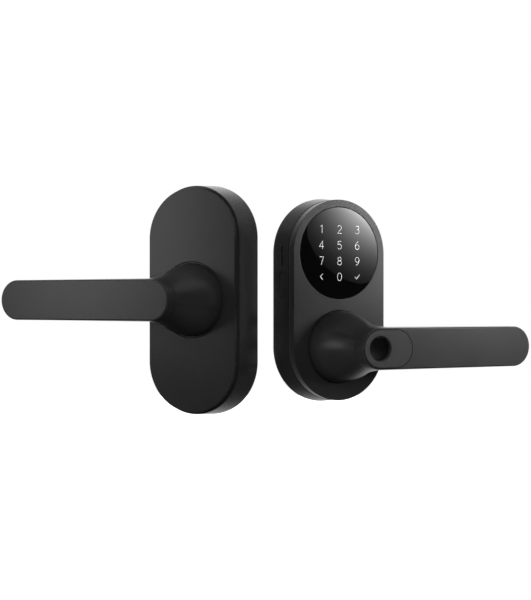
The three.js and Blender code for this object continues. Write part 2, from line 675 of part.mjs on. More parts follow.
function interiorMountingPlate() {
  const plate = pill(INT_REACH, [[0, INT_PLATE_RADIUS], [INT_PLATE_FRONT, INT_PLATE_RADIUS]]);
  const front = INT_PLATE_FRONT + 1;
  const sleeveHole = rod(SLEEVE_RADIUS + 2, -1, front, MEDIUM);
  const boltHoles = [-1, 1].map((side) => rod(BOLT_WAY, -1, front).translate(0, 0, side * POST_OFFSET));
  const screwHoles = INT_SCREW_Z.flatMap((z) => [
    rod(SCREW_HOLE, -1, front).translate(0, 0, z),
    rod(HEAD_HOLE, -1, COUNTERBORE).translate(0, 0, z),
  ]);
  return cut(plate, sleeveHole, ...boltHoles, ...screwHoles);
}
piece(interior, 'interior_mounting_plate', 'steel', interiorMountingPlate());

function interiorGasket() {
  const rim = INT_BACK_RADIUS - 0.25;
  const sheet = pill(INT_REACH, [[-GASKET, rim], [-GAP, rim]]);
  const bore = rod(GASKET_BORE, -GASKET - 1, 1, ROUND);
  const headWays = INT_SCREW_Z.map((z) => rod(HEAD_HOLE, -GASKET - 1, 1).translate(0, 0, z));
  return cut(sheet, bore, ...headWays);
}
piece(interior, 'interior_gasket', 'rubber', interiorGasket());

// A long bolt with a pan head that runs back through the door into a mounting post.
function throughBolt() {
  const tail = -46;
  const chamfer = 0.5;
  const head = INT_PLATE_FRONT + GAP;
  const headRadius = 4.4;
  const headTop = head + 2.6;
  return turned([
    [0, tail], [BOLT_RADIUS - chamfer, tail], [BOLT_RADIUS, tail + chamfer], [BOLT_RADIUS, head],
    [headRadius, head], [headRadius, headTop - 1], [headRadius - 1, headTop], [0, headTop],
  ], SMALL);
}
piece(interior, 'upper_through_bolt', 'steel', throughBolt(), [0, 0, POST_OFFSET]);
piece(interior, 'lower_through_bolt', 'steel', throughBolt(), [0, 0, -POST_OFFSET]);

function interiorHousing() {
  const outside = pill(INT_REACH, [
    [0, INT_BACK_RADIUS], [INT_RIM / 2, (INT_BACK_RADIUS + INT_RADIUS) / 2],
    [INT_RIM - 0.5, INT_RADIUS], [INT_RIM, INT_RADIUS - 0.5],
  ]);
  const mouth = INT_PLATE_RADIUS + GAP;
  const inside = pill(INT_REACH, [[-1, mouth], [INT_PLATE_FRONT + 0.5, mouth], [INT_FLOOR, mouth - 1]]);
  const bushHole = rod(BUSH_BORE, 5, 30, ROUND);
  const windowX = HOLDER_X + 1;
  const windowZ = HOLDER_HALF + 0.6;
  const windows = [-1, 1].map((side) => {
    const middle = side * HOLDER_Z;
    return block([-windowX, 10, middle - windowZ], [windowX, 30, middle + windowZ]);
  });
  const bosses = INT_SCREW_Z.map((z) => (
    screwBoss(3.2, INT_PLATE_FRONT + GAP, INT_FLOOR + 0.5, INT_FLOOR - 4).translate(0, 0, z)
  ));
  return join(cut(outside, inside, bushHole, ...windows), ...bosses);
}
piece(interior, 'interior_housing', 'blackMetal', interiorHousing());

INT_SCREW_Z.forEach((z, index) => {
  const geometry = screw(COUNTERBORE - GAP, 14);
  piece(interior, `interior_housing_screw_${index + 1}`, 'steel', geometry, [0, 0, z]);
});

// A thin tray over the housing, with a rim round the hub ring.
function facePlate() {
  const back = INT_RIM + 0.6;
  const thickness = 1.8;
  const inner = PLATE_RADIUS - thickness;
  const outside = pill(INT_REACH, [
    [back, PLATE_RADIUS - 0.1], [INT_DEPTH - 0.3, PLATE_RADIUS], [INT_DEPTH, PLATE_RADIUS - 0.3],
  ]);
  const inside = pill(INT_REACH, [[back - 1, inner], [INT_DEPTH - thickness, inner]]);
  const rim = rod(COLLAR_RADIUS + thickness, back, INT_DEPTH - 1, FINE);
  return cut(join(cut(outside, inside), rim), rod(COLLAR_RADIUS + GAP, 0, 40, FINE));
}
piece(interior, 'interior_face_plate', 'blackMetal', facePlate());

// The trim ring that stands between the face plate and the turning hub.
const collarInner = 24;
const collarBack = INT_RIM + GAP;
const collarLedge = INT_RIM + 1.6;
const collarProfile = [
  [collarInner, collarBack], [COLLAR_RADIUS, collarBack], [COLLAR_RADIUS, INT_DEPTH],
  [HUB_BORE, INT_DEPTH], [HUB_BORE, collarLedge], [collarInner, collarLedge],
  [collarInner, collarBack],
];
piece(interior, 'interior_hub_collar', 'blackMetal', turned(collarProfile, 40));

const STRIP_X = CELL_LENGTH / 2 + 0.5; // spring strip beside the cells' ends
const STRIP_THICKNESS = 0.5;
const STRIP_HALF = CELL_PITCH / 2 + 4;

// A tray with two troughs for cells that lie across the housing.
function batteryHolder() {
  const tray = block([-HOLDER_X, 4.6, -HOLDER_HALF], [HOLDER_X, INT_RIM - 1, HOLDER_HALF]);
  const radius = CELL_RADIUS + CELL_ROOM;
  const end = CELL_LENGTH / 2 + 2.5;
  const troughs = [-0.5, 0.5].flatMap((side) => {
    const z = side * CELL_PITCH;
    const cell = new THREE.CylinderGeometry(radius, radius, 2 * end, 20);
    const mouth = block([-end, CELL_W, z - radius], [end, INT_DEPTH, z + radius]);
    return [cell.rotateZ(Math.PI / 2).translate(0, -CELL_W, z), mouth];
  });
  const slotZ = STRIP_HALF + 0.4;
  const stripSlot = block(
    [STRIP_X - GAP, CELL_W - 4.3, -slotZ],
    [STRIP_X + STRIP_THICKNESS + GAP, INT_DEPTH, slotZ],
  );
  return cut(tray, ...troughs, stripSlot);
}

// A cell with its raised terminal at the right-hand end.
function cellShape() {
  const half = CELL_LENGTH / 2;
  const profile = [[0, -half], [CELL_RADIUS - 0.3, -half], [CELL_RADIUS, -half + 0.4],
    [CELL_RADIUS, half - 1.6], [CELL_RADIUS - 0.8, half - 1], [2.7, half - 1], [2.7, half], [0, half]];
  return turned(profile, 20).rotateZ(Math.PI / 2);
}

// The spring strip that joins the two cells of one holder.
function contactStrip() {
  return block([STRIP_X, CELL_W - 4, -STRIP_HALF], [STRIP_X + STRIP_THICKNESS, CELL_W + 4, STRIP_HALF]);
}

[['upper', 1], ['lower', -1]].forEach(([place, side]) => {
  const holder = new THREE.Group();
  holder.position.set(0, 0, side * HOLDER_Z);
  interior.add(holder);
  piece(holder, `${place}_battery_holder`, 'plastic', batteryHolder());
  piece(holder, `${place}_battery_1`, 'battery', cellShape(), [0, CELL_W, CELL_PITCH / 2]);
  const lowerPlace = [0, CELL_W, -CELL_PITCH / 2];
  const turnedCell = piece(holder, `${place}_battery_2`, 'battery', cellShape(), lowerPlace);
  turnedCell.rotation.y = Math.PI;
  piece(holder, `${place}_battery_contact`, 'steel', contactStrip());
});

// The interior board, open in the middle for the sleeve and the return spring.
function interiorBoard() {
  const [halfWidth, halfHeight] = [35, 27.5];
  const shape = rectangle(-halfWidth, -halfHeight, halfWidth, halfHeight);
  const back = 6;
  const chip = block([22, back + 1, -8], [32, back + 3.4, 8]);
  const board = join(slab(shape, back, back + 1.6), chip);
  const boltWays = [-1, 1].map((side) => rod(6, 0, 12).translate(0, 0, side * POST_OFFSET));
  const hubWay = rod(19, 0, 12, MEDIUM);
  return cut(board, hubWay, ...boltWays);
}
piece(interior, 'interior_circuit_board', 'circuit', interiorBoard());
piece(interior, 'interior_cable_socket', 'plastic', block([-32, 8, -5], [-24, 13, 5]));

// ---- Interior lever ----

const INT_SLEEVE_BACK = 3;
const intSleeveFront = INT_DEPTH + SOCKET_DEPTH - GAP;
const intGroove = 13.4;
const intSleeve = driveSleeve(INT_SLEEVE_BACK, intSleeveFront, intGroove, SPINDLE + 0.5);
piece(interior, 'interior_bearing_bush', 'brass', bush(15.2, INT_RIM + GAP, 18));
piece(interior, 'interior_drive_sleeve', 'steel', intSleeve);
piece(interior, 'interior_circlip', 'steel', circlip(intGroove + GAP));
piece(interior, 'interior_return_spring', 'steel', returnSpring(15.5, 3, 8.4, 12.6));

const interiorLever = cut(leverForm().rotateY(Math.PI), ...leverCuts());
piece(interior, 'interior_lever', 'blackMetal', interiorLever, [0, INT_DEPTH, 0]);
piece(interior, 'interior_set_screw', 'steel', setScrew(), [0, INT_DEPTH + SET_SCREW_HEIGHT, 0]);

// ---- The whole lock ----

const group = new THREE.Group();
group.add(exterior, interior);

export default group;
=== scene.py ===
"""Looks of the keypad smart lock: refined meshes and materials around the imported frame."""

import json
import math

import bmesh
import bpy
from mathutils import Matrix, Vector


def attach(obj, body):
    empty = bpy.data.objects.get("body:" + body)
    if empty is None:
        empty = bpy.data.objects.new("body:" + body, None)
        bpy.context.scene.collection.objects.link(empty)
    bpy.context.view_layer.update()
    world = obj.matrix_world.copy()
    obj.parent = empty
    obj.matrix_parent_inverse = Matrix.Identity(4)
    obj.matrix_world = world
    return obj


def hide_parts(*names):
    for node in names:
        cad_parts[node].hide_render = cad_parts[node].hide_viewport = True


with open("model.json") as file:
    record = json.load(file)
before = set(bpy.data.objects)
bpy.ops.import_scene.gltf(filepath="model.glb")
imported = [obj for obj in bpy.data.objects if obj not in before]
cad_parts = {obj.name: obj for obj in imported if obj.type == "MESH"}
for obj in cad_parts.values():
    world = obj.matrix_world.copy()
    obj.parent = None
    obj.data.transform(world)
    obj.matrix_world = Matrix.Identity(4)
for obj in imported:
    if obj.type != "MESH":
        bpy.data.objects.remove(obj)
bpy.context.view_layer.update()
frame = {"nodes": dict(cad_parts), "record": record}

MM = 0.001


# ---- Where the two halves stand, read from the frame ----

GASKET = 2.2  # thickness of the gasket that each half stands on, in millimetres

mounts = {m["name"]: m for m in frame["record"]["mounts"]}


def half_frame(mount_name):
    """Takes millimetres (x right, y into the door, z up) in one half's own frame to the row frame."""
    mount = mounts[mount_name]
    into_door = Vector(mount["axis"]).normalized()
    up = Vector((0, 0, 1))
    right = into_door.cross(up)
    place = Vector((mount["pos_m"][0], mount["pos_m"][1], 0))
    turn = Matrix((right, into_door, up)).transposed().to_4x4()
    return Matrix.Translation(place) @ turn @ Matrix.Scale(MM, 4) @ Matrix.Translation((0, -GASKET, 0))


EXTERIOR = half_frame("exterior_door_face")
INTERIOR = half_frame("interior_door_face")


# ---- Driving dimensions in millimetres, depth w counted outwards from the gasket's front ----

# Exterior half
EXT_REACH = 35  # from the middle of the half to the centre of each round end
EXT_RADIUS = 40  # round ends of the front cover
EXT_BACK_RADIUS = 41.85  # the housing flares out to this at the door
EXT_MOUTH_RADIUS = EXT_RADIUS - 1.4  # inside of the housing at its back
EXT_BACK = 0.6  # depth of the housing's back edge
HOUSING_FLOOR = 14.5  # inner face of the housing's front wall
EXT_SEAM = 17  # depth of the joint between housing and front cover
HOUSING_FRONT = EXT_SEAM - 0.1
COVER_BACK = EXT_SEAM + 0.4
COVER_CAVITY = 21.5  # inner face of the front cover's front wall
GLASS_SEAT = 22.5
EXT_DEPTH = 25  # depth of the front cover's face
EXT_FLAT = 37.4  # the flat faces lie inside this radius
DISC_RADIUS = 34.35  # touch glass
LIGHT_BORE = 32.6  # opening for the light guide behind the glass
HUB_Z = -EXT_REACH
DISC_Z = EXT_REACH

# Left side of the exterior half
PORT_Z = 10.8
PORT_W = 9.4
PORT_RADIUS = 3.7
PORT_REACH = 6.15  # from its middle to the centre of each round end
FLAP_RADIUS = 3.4  # rubber cover in the port
FLAP_THICKNESS = 1.6
SLIT_Z = 32.5
SLIT_RADIUS = 0.9
SLIT_REACH = 6.6
CABLE_RADIUS = 2.5  # lying pill-shaped opening for the cable
CABLE_REACH = 6.5
CABLE_Z = -0.5
SLOT_DEPTH = 6  # port and slit, inwards from the front cover's radius
SIDE_SLOPE = math.atan((EXT_BACK_RADIUS - EXT_RADIUS) / (EXT_SEAM - 0.7))
SIDE_AT_PORT = 40.8  # distance of the housing's side from its middle at the port's depth

# Interior half
INT_REACH = 46.1
INT_RADIUS = 39.4  # front rim of the housing
INT_BACK_RADIUS = 40.7
INT_MOUTH_RADIUS = INT_RADIUS - 1.2  # inside of the housing at its back
INT_RIM = 22.3  # depth of the housing's front rim
INT_FLOOR = INT_RIM - 2.4  # inner face of the housing's front wall
INT_DEPTH = 27  # depth of the face plate
PLATE_BACK = INT_RIM + 0.6
PLATE_RADIUS = 37.8
PLATE_WALL = 1.8
COLLAR_RADIUS = 28.35
COLLAR_BORE = COLLAR_RADIUS + 0.3  # opening in the face plate
BATTERY_Z = 46.2  # middle of each battery window above or below the lever's axis
BATTERY_HALF_X = 30.4
BATTERY_HALF_Z = 17

# Both halves
BUSH_BORE = 14.3  # opening in both housings round the lever's bush
BOLT_BORE = 24.5  # opening in both gaskets round the lever's axis
HEAD_BORE = 3.2  # openings in both gaskets for screw heads
EXT_SCREW_Z = (58, -66)
INT_SCREW_Z = (79, -79)

# Levers
HUB_RADIUS = 27  # foot of the neck
HUB_BORE = HUB_RADIUS + 0.4
BLADE_RADIUS = 15  # half the height of the blade
BLADE_REACH = 122.4  # from the lever's axis to the centre of the round tip
NECK_LENGTH = 44  # from the escutcheon to the back of the blade
LEVER_LENGTH = 54  # from the escutcheon to the blade's face
NECK_REACH = 24.4  # how far the neck's flare runs out under the blade
LEVER_FOOT = -0.8  # the foot sinks this far into the escutcheon
SOCKET_RADIUS = 10.3
SOCKET_DEPTH = 7
SET_SCREW_HEIGHT = 3.2  # set screw's axis above the escutcheon
SET_SCREW_BORE = 2.4

# Fingerprint inlay
INLAY_RADIUS = 13.5
INLAY_REACH = 14.2
INLAY_THICKNESS = 3.1
SENSOR_RADIUS = 8.15
SENSOR_SUNK = 2.6  # the sensor lies this far below the inlay's face
SENSOR_THICKNESS = 2.4
SENSOR_BORE = 8.9  # pocket under the inlay


# ---- Mesh making ----

PILL_POINTS = 192
ROUND_POINTS = 128


def pill_ring(radius, reach, w, z=0.0, x=0.0, count=PILL_POINTS):
    """Points of an upright pill outline at one depth."""
    ring = []
    for k in range(count):
        turn = (k + 0.5) / count * 2 * math.pi
        end = reach if math.sin(turn) > 0 else -reach
        ring.append(Vector((x + radius * math.cos(turn), -w, z + end + radius * math.sin(turn))))
    return ring


def round_ring(radius, w, z=0.0, x=0.0, count=ROUND_POINTS):
    return pill_ring(radius, 0, w, z, x, count)


def lying_ring(radius, reach, w, count=PILL_POINTS):
    """Points of a pill that lies along +X from the axis."""
    ring = []
    for k in range(count):
        turn = (k + 0.5) / count * 2 * math.pi
        end = reach if math.cos(turn) > 0 else 0
        ring.append(Vector((end + radius * math.cos(turn), -w, radius * math.sin(turn))))
    return ring


def rounded(points, steps=4):
    """A profile of (radius, w, fillet) corners with each corner rounded, as (radius, w) pairs."""
    out = []
    last = len(points) - 1
    for i, (radius, w, fillet) in enumerate(points):
        corner = Vector((radius, w))
        if fillet == 0 or i in (0, last):
            out.append((radius, w))
            continue
        before = (Vector(points[i - 1][:2]) - corner).normalized()
        after = (Vector(points[i + 1][:2]) - corner).normalized()
        half = before.angle(after) / 2
        run = fillet / math.tan(half)
        start, end = corner + before * run, corner + after * run
        centre = corner + (before + after).normalized() * (fillet / math.sin(half))
        first, sweep = start - centre, end - centre
        total = first.angle_signed(sweep)
        for step in range(steps + 1):
            turn = -total * step / steps
            spoke = Matrix.Rotation(turn, 2) @ first
            out.append(tuple(centre + spoke))
    return out


class Shell:
    """A closed solid built from rings: an outer stack, with holes or pockets sunk from its front."""

    def __init__(self):
        self.mesh = bmesh.new()

    def ring(self, points):
        return [self.mesh.verts.new(p) for p in points]

    def walls(self, stack):
        """Bands of quads through a stack of vertex rings."""
        for low, high in zip(stack, stack[1:]):
            count = len(low)
            for k in range(count):
                after = (k + 1) % count
                self.mesh.faces.new((low[k], low[after], high[after], high[k]))

    def edges_of(self, ring):
        found = []
        for k, vert in enumerate(ring):
            other = ring[(k + 1) % len(ring)]
            edge = self.mesh.edges.get((vert, other)) or self.mesh.edges.new((vert, other))
            found.append(edge)
        return found

    def lid(self, rings, outwards):
        """A flat face between rings that lie in one plane."""
        if len(rings) == 1:
            self.mesh.faces.new(rings[0])
            return
        edges = [edge for ring in rings for edge in self.edges_of(ring)]
        bmesh.ops.triangle_fill(self.mesh, edges=edges, use_beauty=True, normal=outwards)

    def solid(self, outer, pockets=(), ways=(), sockets=()):
        """outer runs from back to front, pockets sink from the front, sockets rise from the back.

        Ways run from the front right through to the back.
        """
        stack = [self.ring(points) for points in outer]
        self.walls(stack)
        fronts, backs = [stack[-1]], [stack[0]]
        for points in pockets:
            rings = [self.ring(ring) for ring in points]
            self.walls(rings)
            fronts.append(rings[0])
            self.lid([rings[-1]], Vector((0, -1, 0)))
        for points in sockets:
            rings = [self.ring(ring) for ring in points]
            self.walls(rings)
            backs.append(rings[0])
            self.lid([rings[-1]], Vector((0, 1, 0)))
        for points in ways:
            rings = [self.ring(ring) for ring in points]
            self.walls(rings)
            fronts.append(rings[0])
            backs.append(rings[-1])
        self.lid(fronts, Vector((0, -1, 0)))
        self.lid(backs, Vector((0, 1, 0)))
        return self

    def done(self, name, place, local=None):
        """Closes the mesh with its faces outwards and moves it from its half's frame to the row frame."""
        bmesh.ops.remove_doubles(self.mesh, verts=self.mesh.verts, dist=1e-5)
        if local is not None:
            bmesh.ops.transform(self.mesh, matrix=local, verts=self.mesh.verts)
        bmesh.ops.transform(self.mesh, matrix=place, verts=self.mesh.verts)
        bmesh.ops.recalc_face_normals(self.mesh, faces=self.mesh.faces)
        data = bpy.data.meshes.new(name)
        self.mesh.to_mesh(data)
        self.mesh.free()
        obj = bpy.data.objects.new(name, data)
        bpy.context.scene.collection.objects.link(obj)
        return obj


def smooth(obj, angle=35):
    """Smooth shading with crisp edges, and flat faces kept flat."""
    obj.data.polygons.foreach_set("use_smooth", [True] * len(obj.data.polygons))
    obj.data.set_sharp_from_angle(angle=math.radians(angle))
    weighted = obj.modifiers.new("flat_faces", "WEIGHTED_NORMAL")
    weighted.keep_sharp = True
    weighted.weight = 100
    return obj


def apply_modifiers(obj):
    """Makes the evaluated mesh the object's own."""
    depsgraph = bpy.context.evaluated_depsgraph_get()
    data = bpy.data.meshes.new_from_object(obj.evaluated_get(depsgraph))
    obj.modifiers.clear()
    obj.data = data


def carve(obj, cutters):
    """Cuts other objects out of one, and removes them."""
    for cutter in cutters:
        boolean = obj.modifiers.new("cut", "BOOLEAN")
        boolean.operation = "DIFFERENCE"
        boolean.solver = "EXACT"
        boolean.object = cutter
    bpy.context.view_layer.update()
    apply_modifiers(obj)
    for cutter in cutters:
        bpy.data.objects.remove(cutter)
    return obj


def dress(obj, body, slot, finish, *nodes):
    """Puts a material on a piece, makes it ride on its body and stand for its CAD nodes."""
    obj.data.materials.clear()
    obj.data.materials.append(finish)
    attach(obj, body)
    if nodes:
        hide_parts(*nodes)
    return obj


# ---- Materials ----


def new_material(name):
    material = bpy.data.materials.new(name)
    material.use_nodes = True
    nodes = material.node_tree.nodes
    return material, nodes, material.node_tree.links, nodes["Principled BSDF"]


def noise(nodes, links, scale, detail=3.0, roughness=0.5):
    """Noise in the object's own frame, so it stays with the piece. Scale is in features per metre."""
    coordinates = nodes.new("ShaderNodeTexCoord")
    texture = nodes.new("ShaderNodeTexNoise")
    texture.inputs["Scale"].default_value = scale
    texture.inputs["Detail"].default_value = detail
    texture.inputs["Roughness"].default_value = roughness
    links.new(coordinates.outputs["Object"], texture.inputs["Vector"])
    return texture


def ramp(nodes, links, source, low, high, start=0.3, end=0.7):
    """Maps a 0 to 1 signal to a range of values or colours."""
    node = nodes.new("ShaderNodeValToRGB")
    node.color_ramp.elements[0].position = start
    node.color_ramp.elements[1].position = end
    node.color_ramp.elements[0].color = low if len(low) == 4 else (*low, 1)
    node.color_ramp.elements[1].color = high if len(high) == 4 else (*high, 1)
    links.new(source, node.inputs["Fac"])
    return node


def grey(value):
    return (value, value, value, 1)


def shaded(colour, factor):
    """The colour made darker or lighter by a factor."""
    return [channel * factor for channel in colour]


def add_bump(nodes, links, shader, height, strength, distance):
    bump = nodes.new("ShaderNodeBump")
    bump.inputs["Strength"].default_value = strength
    bump.inputs["Distance"].default_value = distance
    links.new(height, bump.inputs["Height"])
    links.new(bump.outputs["Normal"], shader.inputs["Normal"])


def coated_metal(name, colour, roughness, grain=0.02, specular=0.5):
    """Satin powder coat: even colour with a faint cloud and a grain of a third of a millimetre."""
    material, nodes, links, shader = new_material(name)
    cloud = noise(nodes, links, 35, 2)
    tint = ramp(nodes, links, cloud.outputs["Fac"], shaded(colour, 0.92), shaded(colour, 1.08))
    links.new(tint.outputs["Color"], shader.inputs["Base Color"])
    speckle = noise(nodes, links, 3200, 2, 0.6)
    gloss = ramp(nodes, links, speckle.outputs["Fac"], grey(roughness - 0.03), grey(roughness + 0.03))
    links.new(gloss.outputs["Color"], shader.inputs["Roughness"])
    shader.inputs["Specular IOR Level"].default_value = specular
    add_bump(nodes, links, shader, speckle.outputs["Fac"], grain, 0.00005)
    return material


def plain_metal(name, colour, roughness, scale=900, stretch=(1, 1, 1)):
    """Bare or plated metal with fine machining marks."""
    material, nodes, links, shader = new_material(name)
    coordinates = nodes.new("ShaderNodeTexCoord")
    mapping = nodes.new("ShaderNodeMapping")
    mapping.inputs["Scale"].default_value = stretch
    links.new(coordinates.outputs["Object"], mapping.inputs["Vector"])
    marks = noise(nodes, links, scale, 4)
    links.new(mapping.outputs["Vector"], marks.inputs["Vector"])
    tint = ramp(nodes, links, marks.outputs["Fac"], shaded(colour, 0.85), colour)
    links.new(tint.outputs["Color"], shader.inputs["Base Color"])
    gloss = ramp(nodes, links, marks.outputs["Fac"], grey(roughness - 0.06), grey(roughness + 0.08))
    links.new(gloss.outputs["Color"], shader.inputs["Roughness"])
    shader.inputs["Metallic"].default_value = 1.0
    add_bump(nodes, links, shader, marks.outputs["Fac"], 0.08, 0.00005)
    return material


def moulded(name, colour, roughness, grain=0.12, scale=1800):
    """Rubber or moulded plastic with a fine even texture."""
    material, nodes, links, shader = new_material(name)
    texture = noise(nodes, links, scale, 3)
    tint = ramp(nodes, links, texture.outputs["Fac"], shaded(colour, 0.8), colour)
    links.new(tint.outputs["Color"], shader.inputs["Base Color"])
    gloss = ramp(nodes, links, texture.outputs["Fac"], grey(roughness - 0.05), grey(roughness + 0.05))
    links.new(gloss.outputs["Color"], shader.inputs["Roughness"])
    add_bump(nodes, links, shader, texture.outputs["Fac"], grain, 0.0001)
    return material


def polished(name, colour, roughness, specular=0.5):
    """Black gloss, with the faintest unevenness of handling."""
    material, nodes, links, shader = new_material(name)
    shader.inputs["Base Color"].default_value = (*colour, 1)
    smear = noise(nodes, links, 60, 3)
    gloss = ramp(nodes, links, smear.outputs["Fac"], grey(roughness), grey(roughness + 0.01))
    links.new(gloss.outputs["Color"], shader.inputs["Roughness"])
    shader.inputs["Specular IOR Level"].default_value = specular
    return material


def lit_legend(name):
    """White lit digits, slightly uneven where the light guide spreads its light."""
    material, nodes, links, shader = new_material(name)
    cloud = noise(nodes, links, 150, 1)
    glow = ramp(nodes, links, cloud.outputs["Fac"], grey(0.75), grey(0.95))
    links.new(glow.outputs["Color"], shader.inputs["Emission Color"])
    shader.inputs["Base Color"].default_value = grey(0.8)
    shader.inputs["Emission Strength"].default_value = 0.7
    return material


def circuit(name):
    """Green solder mask, paler along a net of square tracks."""
    material, nodes, links, shader = new_material(name)
    coordinates = nodes.new("ShaderNodeTexCoord")
    tracks = nodes.new("ShaderNodeTexVoronoi")
    tracks.distance = "MANHATTAN"
    tracks.feature = "DISTANCE_TO_EDGE"
    tracks.inputs["Scale"].default_value = 260
    links.new(coordinates.outputs["Object"], tracks.inputs["Vector"])
    track, mask = (0.05, 0.2, 0.08), (0.012, 0.075, 0.03)
    tint = ramp(nodes, links, tracks.outputs["Distance"], track, mask, 0.02, 0.05)
    links.new(tint.outputs["Color"], shader.inputs["Base Color"])
    shader.inputs["Roughness"].default_value = 0.4
    return material


BLACK = [0.022, 0.022, 0.0225]
LEVER_BLACK = [0.026, 0.026, 0.0265]

cover_coat = coated_metal("black_powder_coat", BLACK, 0.27, specular=0.15)
lever_coat = coated_metal("black_lever_coat", LEVER_BLACK, 0.31, specular=0.2)
inlay_coat = coated_metal("black_inlay_coat", [0.026, 0.026, 0.027], 0.42, specular=0.2)
steel = plain_metal("zinc_plated_steel", [0.56, 0.57, 0.58], 0.34)
brass = plain_metal("machined_brass", [0.7, 0.5, 0.24], 0.32)
rubber = moulded("black_rubber", [0.008, 0.008, 0.008], 0.7)
plastic = moulded("black_plastic", [0.02, 0.02, 0.021], 0.5)
diffuser = moulded("milky_plastic", [0.8, 0.8, 0.78], 0.5)
glass = polished("black_touch_glass", [0.002, 0.002, 0.0025], 0.004)
sensor_glass = polished("black_sensor", [0.003, 0.003, 0.0035], 0.14, 0.2)
battery_wrap = moulded("battery_sleeve", [0.05, 0.055, 0.065], 0.35, 0.02)
board = circuit("circuit_board")
legend = lit_legend("lit_legend")

FINISH_OF_SLOT = {
    "black_metal": cover_coat, "lever_metal": lever_coat, "plated_steel": steel, "bearing_brass": brass,
    "black_rubber": rubber, "black_plastic": plastic, "touch_glass": glass, "light_diffuser": diffuser,
    "circuit_board": board, "sensor_black": sensor_glass, "battery_wrap": battery_wrap,
}

NODE_BEVEL = 0.15

# Every CAD node that stays in view gets its slot's material and softened edges.
for part in frame["record"]["subparts"]:
    node = frame["nodes"][part["node"]]
    node.data.materials.clear()
    node.data.materials.append(FINISH_OF_SLOT[part["material_slot"]])
    bevel = node.modifiers.new("edges", "BEVEL")
    bevel.width = NODE_BEVEL * MM
    bevel.segments = 2
    bevel.limit_method = "ANGLE"
    bevel.angle_limit = math.radians(40)


# ---- Exterior half ----


def pill_stack(reach, profile):
    return [pill_ring(radius, reach, w) for radius, w in profile]


def round_stack(profile, z=0.0, x=0.0):
    return [round_ring(radius, w, z, x) for radius, w in profile]


def front_cover():
    cavity = EXT_RADIUS - 2.6
    outer = rounded([
        (cavity, COVER_CAVITY, 0), (cavity, COVER_BACK, 0), (EXT_RADIUS - 0.2, COVER_BACK, 0.25),
        (EXT_RADIUS, EXT_DEPTH, 0.28), (EXT_FLAT, EXT_DEPTH, 0),
    ], 6)
    glass_bore = DISC_RADIUS + 0.25
    glass_way = rounded([
        (DISC_RADIUS + 0.9, EXT_DEPTH, 0), (glass_bore, EXT_DEPTH, 0.2), (glass_bore, GLASS_SEAT, 0),
        (LIGHT_BORE, GLASS_SEAT, 0), (LIGHT_BORE, COVER_CAVITY, 0),
    ])
    hub_way = rounded([
        (HUB_BORE + 0.9, EXT_DEPTH, 0), (HUB_BORE, EXT_DEPTH, 0.25), (HUB_BORE, COVER_CAVITY, 0),
    ])
    shell = Shell().solid(
        pill_stack(EXT_REACH, outer),
        ways=[round_stack(glass_way, DISC_Z), round_stack(hub_way, HUB_Z)],
    )
    return smooth(shell.done("front_cover_shell", EXTERIOR))


dress(front_cover(), "lock_body", "black_metal", cover_coat, "front_cover")


def side_slot(radius, reach, z):
    """A pill-shaped cutter that enters the left side of the exterior half."""
    ends = (EXT_RADIUS - SLOT_DEPTH, EXT_RADIUS + SLOT_DEPTH)
    stack = [pill_ring(radius, reach, end, count=48) for end in ends]
    turn = Matrix.Translation((0, -PORT_W, z)) @ Matrix.Rotation(-math.pi / 2, 4, "Z")
    return Shell().solid(stack).done("cutter", EXTERIOR, turn)


def cable_ring(w):
    """The opening for the cable, just below the middle of the housing."""
    upright = pill_ring(CABLE_RADIUS, CABLE_REACH, w, count=32)
    return [Vector((point.z, point.y, point.x + CABLE_Z)) for point in upright]


def exterior_housing():
    outer = rounded([
        (EXT_RADIUS - 2.4, HOUSING_FLOOR, 0), (EXT_MOUTH_RADIUS, 3.9, 0), (EXT_MOUTH_RADIUS, EXT_BACK, 0),
        (EXT_BACK_RADIUS, EXT_BACK, 0.3), (EXT_RADIUS, HOUSING_FRONT, 0.25), (EXT_FLAT, HOUSING_FRONT, 0),
    ], 6)
    bush_way = [(BUSH_BORE, HOUSING_FRONT), (BUSH_BORE, HOUSING_FLOOR)]
    cable_way = [cable_ring(w) for w in (HOUSING_FRONT, HOUSING_FLOOR)]
    shell = Shell().solid(pill_stack(EXT_REACH, outer), ways=[round_stack(bush_way, HUB_Z), cable_way])
    housing = shell.done("exterior_housing_shell", EXTERIOR)
    port = side_slot(PORT_RADIUS, PORT_REACH, PORT_Z)
    slit = side_slot(SLIT_RADIUS, SLIT_REACH, SLIT_Z)
    return smooth(carve(housing, [port, slit]))


dress(exterior_housing(), "lock_body", "black_metal", cover_coat, "exterior_housing")


def port_cover():
    """A soft-edged rubber flap in line with the flared side of the housing."""
    flat, back = FLAP_RADIUS - 1, -FLAP_THICKNESS
    profile = rounded([
        (flat, back, 0), (FLAP_RADIUS, back, 0.3), (FLAP_RADIUS, 0, 0.4), (flat, 0, 0),
    ])
    stack = [pill_ring(radius, PORT_REACH, w, count=64) for radius, w in profile]
    turn = Matrix.Rotation(SIDE_SLOPE - math.pi / 2, 4, "Z")
    local = Matrix.Translation((-SIDE_AT_PORT, -PORT_W, PORT_Z)) @ turn
    return smooth(Shell().solid(stack).done("port_cover_flap", EXTERIOR, local))


dress(port_cover(), "port_cover", "black_rubber", rubber, "port_cover")


def gasket(name, place, reach, profile, bore_z, screw_zs):
    """A rubber sheet with soft edges and openings from its front to its back."""
    front, back = profile[-1][1], profile[0][1]
    bores = [(BOLT_BORE, bore_z)] + [(HEAD_BORE, z) for z in screw_zs]
    ways = [round_stack([(radius, front), (radius, back)], z) for radius, z in bores]
    shell = Shell().solid(pill_stack(reach, rounded(profile)), ways=ways)
    return smooth(shell.done(name, place))


